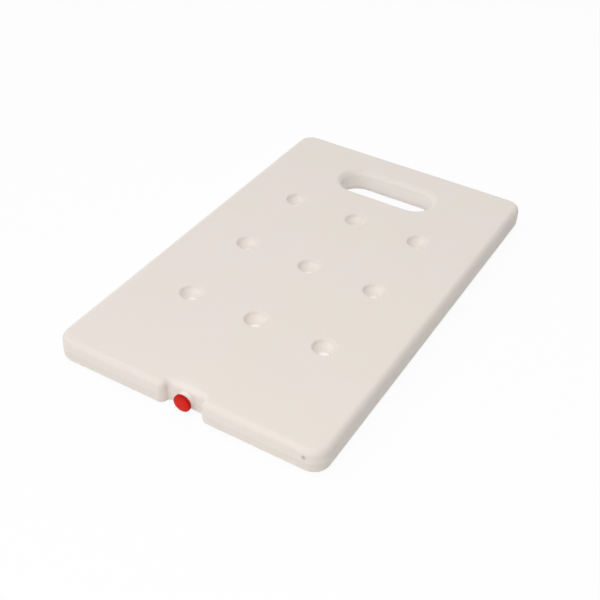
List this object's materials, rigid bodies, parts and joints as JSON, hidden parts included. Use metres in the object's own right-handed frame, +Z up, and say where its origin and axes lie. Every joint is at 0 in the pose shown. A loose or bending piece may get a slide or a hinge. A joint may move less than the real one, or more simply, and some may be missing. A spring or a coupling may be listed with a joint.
{
  "type": "reusable ice pack",
  "caption": "Flat, sealed cooling plate of a full catering size, with a hand slot, welded dimples and a filler plug in an end recess.",
  "frame": {"origin": "centre of the plate's underside", "axes": "+Y along the plate towards the hand slot, +Z up through the plate's thickness"},
  "size_m": [0.325, 0.53, 0.03],
  "materials": {
    "off_white_plastic": "satin, waxy",
    "red_plastic": "smooth"
  },
  "bodies": {
    "root": {"plate_body": "off_white_plastic", "filler_plug": "red_plastic"}
  },
  "joints": []
}
